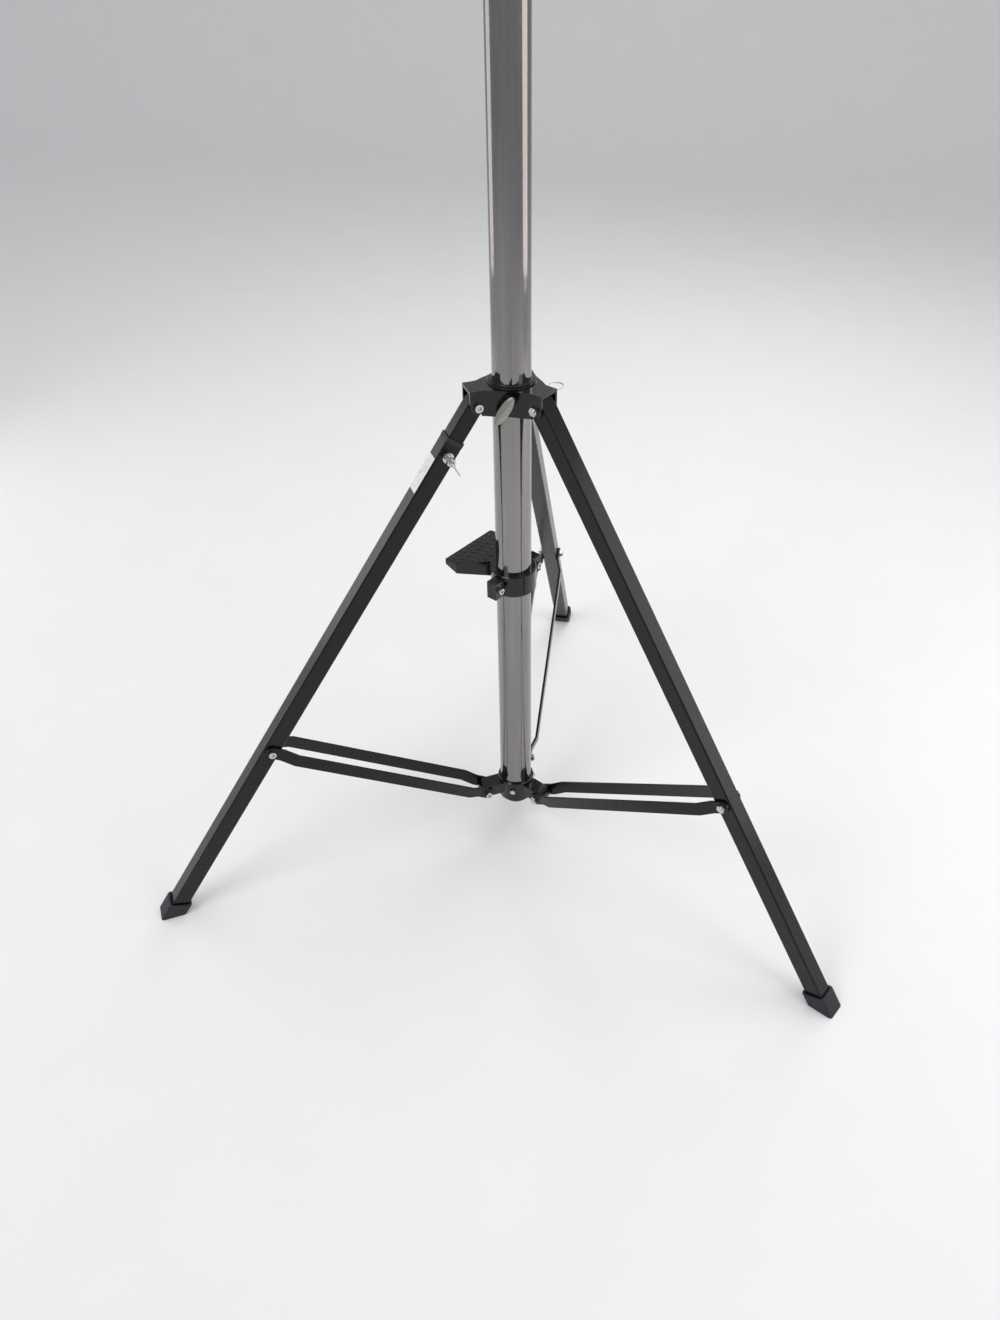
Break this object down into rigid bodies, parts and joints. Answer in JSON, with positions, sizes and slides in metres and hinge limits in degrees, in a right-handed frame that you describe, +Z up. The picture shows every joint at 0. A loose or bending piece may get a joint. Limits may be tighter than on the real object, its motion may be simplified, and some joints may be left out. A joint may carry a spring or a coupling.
{
  "type": "crank lighting stand",
  "caption": "Wind-up lighting stand: telescoping chrome mast raised by a rack and crank, on a folding black tripod with braces, foot step and levelling leg.",
  "frame": {"origin": "centre of the bounding box on the floor, under the spread tripod", "axes": "+Z up the mast, +Y from the mast to the rear leg, +X to the right leg and crank side"},
  "size_m": [1.258, 1.0908, 1.763],
  "materials": {
    "chrome_tube": "bright chrome plating",
    "gloss_black_casting": "gloss black enamel on a casting",
    "black_steel": "satin black powder coat on steel",
    "rubber_boot": "moulded navy-black rubber",
    "black_plastic": "moulded black nylon",
    "nylon_bush": "natural nylon",
    "zinc_casting": "tumbled grey zinc casting",
    "bronze_bush": "sintered bronze",
    "white_label": "plain white film",
    "bright_steel": "ground steel",
    "zinc_plated": "bright zinc plating"
  },
  "bodies": {
    "mast": {"outer_tube": "chrome_tube", "lower_collar": "gloss_black_casting", "base_plug": "black_plastic", "collar_screws": "zinc_plated", "brace_pivot_bolts": "zinc_plated", "step_plate": "gloss_black_casting", "step_clamp": "gloss_black_casting", "step_bolts": "zinc_plated", "drive_housing": "gloss_black_casting", "drive_cover": "gloss_black_casting", "shaft_bushes": "bronze_bush", "brake_cap": "black_plastic", "mast_collar": "gloss_black_casting", "mast_glide_bush": "nylon_bush", "housing_screws": "zinc_plated"},
    "hub": {"hub_casting": "gloss_black_casting", "hub_bush": "black_plastic", "leg_pivot_bolts": "zinc_plated", "hub_pin_barrel": "zinc_plated", "hub_pin_spring": "bright_steel"},
    "wing_knob": {"wing_knob": "zinc_casting"},
    "hub_pin": {"hub_pin": "zinc_plated", "hub_pin_ring": "zinc_plated"},
    "rear_leg": {"rear_leg_tube": "black_steel", "rear_boot": "rubber_boot", "rear_spacer": "zinc_plated"},
    "right_leg": {"right_leg_tube": "black_steel", "right_boot": "rubber_boot", "right_spacer": "zinc_plated"},
    "left_leg": {"left_inner_tube": "black_steel"},
    "left_sleeve": {"left_leg_sleeve": "black_steel", "left_leg_bush": "black_plastic", "level_pin_barrel": "zinc_plated", "level_pin_spring": "bright_steel", "leg_label": "white_label", "left_boot": "rubber_boot", "left_spacer": "zinc_plated"},
    "level_pin": {"level_pin": "zinc_plated", "level_pin_ring": "zinc_plated"},
    "rear_brace": {"rear_brace_bars": "black_steel", "rear_brace_bolt": "zinc_plated"},
    "right_brace": {"right_brace_bars": "black_steel", "right_brace_bolt": "zinc_plated"},
    "left_brace": {"left_brace_bars": "black_steel", "left_brace_bolt": "zinc_plated"},
    "crank": {"crank_shaft": "bright_steel", "rack_pinion": "bright_steel", "brake_spring": "bright_steel", "crank_arm": "gloss_black_casting"},
    "crank_grip": {"crank_grip": "black_plastic"},
    "riser": {"riser_tube": "chrome_tube", "gear_rack": "bright_steel", "riser_foot_bush": "nylon_bush", "riser_collar": "gloss_black_casting"},
    "top_riser": {"top_tube": "chrome_tube", "top_foot_bush": "nylon_bush", "head_socket": "gloss_black_casting"},
    "mast_knob": {"mast_knob": "zinc_casting"},
    "riser_knob": {"riser_knob": "zinc_casting"},
    "head_knob": {"head_knob": "zinc_casting"}
  },
  "joints": [
    {"name": "hub_slide", "type": "slide", "parent": "mast", "child": "hub", "axis": [0, 0, -1], "range_m": [-0.34, 0]},
    {"name": "rear_leg_fold", "type": "hinge", "parent": "hub", "child": "rear_leg", "pos_m": [0, -0.1127, 0.92895], "axis": [-1, 0, 0], "range_deg": [-0.1, 33.4]},
    {"name": "rear_brace_fold", "type": "hinge", "parent": "mast", "child": "rear_brace", "pos_m": [0, -0.108, 0.1065], "axis": [1, 0, 0], "range_deg": [-0.1, 57.91]},
    {"name": "right_leg_fold", "type": "hinge", "parent": "hub", "child": "right_leg", "pos_m": [0.05196, -0.2027, 0.92895], "axis": [0.5, 0.866, 0], "range_deg": [-0.1, 33.4]},
    {"name": "right_brace_fold", "type": "hinge", "parent": "mast", "child": "right_brace", "pos_m": [0.05603, -0.20505, 0.1065], "axis": [-0.5, -0.866, 0], "range_deg": [-0.1, 57.91]},
    {"name": "left_leg_fold", "type": "hinge", "parent": "hub", "child": "left_leg", "pos_m": [-0.05196, -0.2027, 0.92895], "axis": [0.5, -0.866, 0], "range_deg": [-0.1, 33.4]},
    {"name": "left_brace_fold", "type": "hinge", "parent": "mast", "child": "left_brace", "pos_m": [-0.05603, -0.20505, 0.1065], "axis": [-0.5, 0.866, 0], "range_deg": [-0.1, 57.91]},
    {"name": "level_slide", "type": "slide", "parent": "left_leg", "child": "left_sleeve", "axis": [-0.488, -0.2818, -0.8261], "range_m": [0, 0.12]},
    {"name": "level_pin_pull", "type": "slide", "parent": "left_sleeve", "child": "level_pin", "axis": [0.5, -0.866, 0], "range_m": [0, 0.008], "stiffness_N_per_m": 500, "springref_m": -0.01, "deforming": ["level_pin_spring"]},
    {"name": "hub_pin_pull", "type": "slide", "parent": "hub", "child": "hub_pin", "axis": [0.866, 0.5, 0], "range_m": [0, 0.008], "stiffness_N_per_m": 500, "springref_m": -0.01, "deforming": ["hub_pin_spring"]},
    {"name": "wing_knob_turn", "type": "hinge", "parent": "hub", "child": "wing_knob", "pos_m": [0, -0.2027, 0.93295], "axis": [0, -1, 0], "range_deg": [0, 180]},
    {"name": "riser_slide", "type": "slide", "parent": "mast", "child": "riser", "axis": [0, 0, 1], "range_m": [0, 1]},
    {"name": "crank_turn", "type": "hinge", "parent": "mast", "child": "crank", "pos_m": [0, -0.2129, 1.52], "axis": [1, 0, 0], "range_deg": [-1, 3822]},
    {"name": "grip_spin", "type": "hinge", "parent": "crank", "child": "crank_grip", "pos_m": [0.06, -0.2129, 1.67], "axis": [1, 0, 0], "continuous": true},
    {"name": "mast_knob_turn", "type": "hinge", "parent": "mast", "child": "mast_knob", "pos_m": [0, -0.1727, 1.603], "axis": [-0.866, 0.5, 0], "range_deg": [0, 180]},
    {"name": "top_slide", "type": "slide", "parent": "riser", "child": "top_riser", "axis": [0, 0, 1], "range_m": [0, 1]},
    {"name": "riser_knob_turn", "type": "hinge", "parent": "riser", "child": "riser_knob", "pos_m": [0, -0.1727, 1.648], "axis": [-0.866, -0.5, 0], "range_deg": [0, 180]},
    {"name": "head_knob_turn", "type": "hinge", "parent": "top_riser", "child": "head_knob", "pos_m": [0, -0.1727, 1.732], "axis": [-0.866, 0.5, 0], "range_deg": [0, 180]}
  ],
  "couplings": [
    {"joint": "rear_leg_fold", "follows": "hub_slide", "rad_per_m": -1.7094},
    {"joint": "rear_brace_fold", "follows": "hub_slide", "rad_per_m": -2.9674},
    {"joint": "right_leg_fold", "follows": "hub_slide", "rad_per_m": -1.7094},
    {"joint": "right_brace_fold", "follows": "hub_slide", "rad_per_m": -2.9674},
    {"joint": "left_leg_fold", "follows": "hub_slide", "rad_per_m": -1.7094},
    {"joint": "left_brace_fold", "follows": "hub_slide", "rad_per_m": -2.9674},
    {"joint": "crank_turn", "follows": "riser_slide", "rad_per_m": 66.667}
  ]
}
